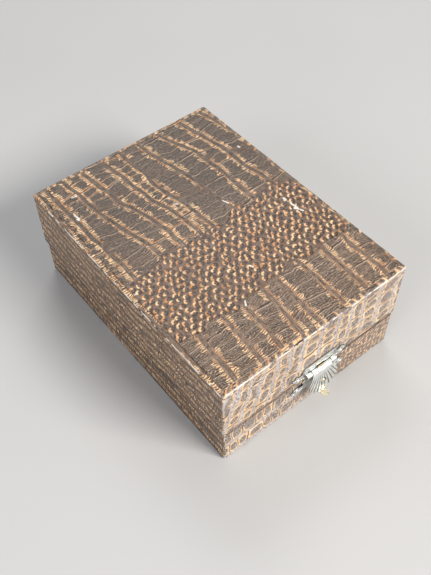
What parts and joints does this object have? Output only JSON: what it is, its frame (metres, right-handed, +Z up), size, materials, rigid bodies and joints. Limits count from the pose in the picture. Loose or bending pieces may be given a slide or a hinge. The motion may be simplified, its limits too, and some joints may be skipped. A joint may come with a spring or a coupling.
{
  "type": "puzzle box",
  "caption": "Small shallow wooden box in embossed paper: a base, a deeper lid hinged at the back, and a shell-shaped snap clasp at the front.",
  "frame": {"origin": "centre of the underside, on the surface the box stands on", "axes": "+Z up, +Y from the clasp at the front to the hinges at the back, +X to the right seen from the front"},
  "size_m": [0.102, 0.1509, 0.054],
  "materials": {
    "wood": "bare pine, satin",
    "brads": "dull drawn wire",
    "paper": "embossed paper in grey-brown and rust, satin",
    "lining": "flocked, matt",
    "tin": "tin-plated sheet, satin",
    "pins": "drawn wire",
    "nickel": "nickel-plated sheet, polished",
    "spring_brass": "rolled brass, satin"
  },
  "bodies": {
    "base": {"base_front_wall": "wood", "base_back_wall": "wood", "base_left_wall": "wood", "base_right_wall": "wood", "base_bottom_panel": "wood", "base_corner_brads": "brads", "base_panel_brads": "brads", "base_side_cover": "paper", "base_bottom_cover": "paper", "base_wall_lining": "lining", "base_floor_pad": "lining", "left_hinge_base_leaf": "tin", "right_hinge_base_leaf": "tin", "left_hinge_pin": "pins", "right_hinge_pin": "pins", "hinge_base_nails": "tin", "clasp_base_plate": "nickel", "clasp_keeper": "nickel", "clasp_base_nails": "nickel"},
    "lid": {"lid_front_wall": "wood", "lid_back_wall": "wood", "lid_left_wall": "wood", "lid_right_wall": "wood", "lid_top_panel": "wood", "lid_corner_brads": "brads", "lid_panel_brads": "brads", "lid_side_cover": "paper", "lid_top_cover": "paper", "lid_wall_lining": "lining", "lid_top_lining": "lining", "left_hinge_lid_leaf": "tin", "right_hinge_lid_leaf": "tin", "hinge_lid_nails": "tin", "clasp_lid_plate": "nickel", "clasp_lid_nails": "nickel", "clasp_hinge_pin": "pins"},
    "hasp": {"clasp_shell": "nickel", "clasp_spring_strip": "spring_brass", "clasp_rivet": "spring_brass"}
  },
  "joints": [
    {"name": "lid_hinge", "type": "hinge", "parent": "base", "child": "lid", "pos_m": [0, 0.0715, 0.022], "axis": [-1, 0, 0], "range_deg": [0, 130]},
    {"name": "hasp_hinge", "type": "hinge", "parent": "lid", "child": "hasp", "pos_m": [0.0026, -0.07155, 0.0244], "axis": [-1, 0, 0], "range_deg": [-6, 130]}
  ]
}
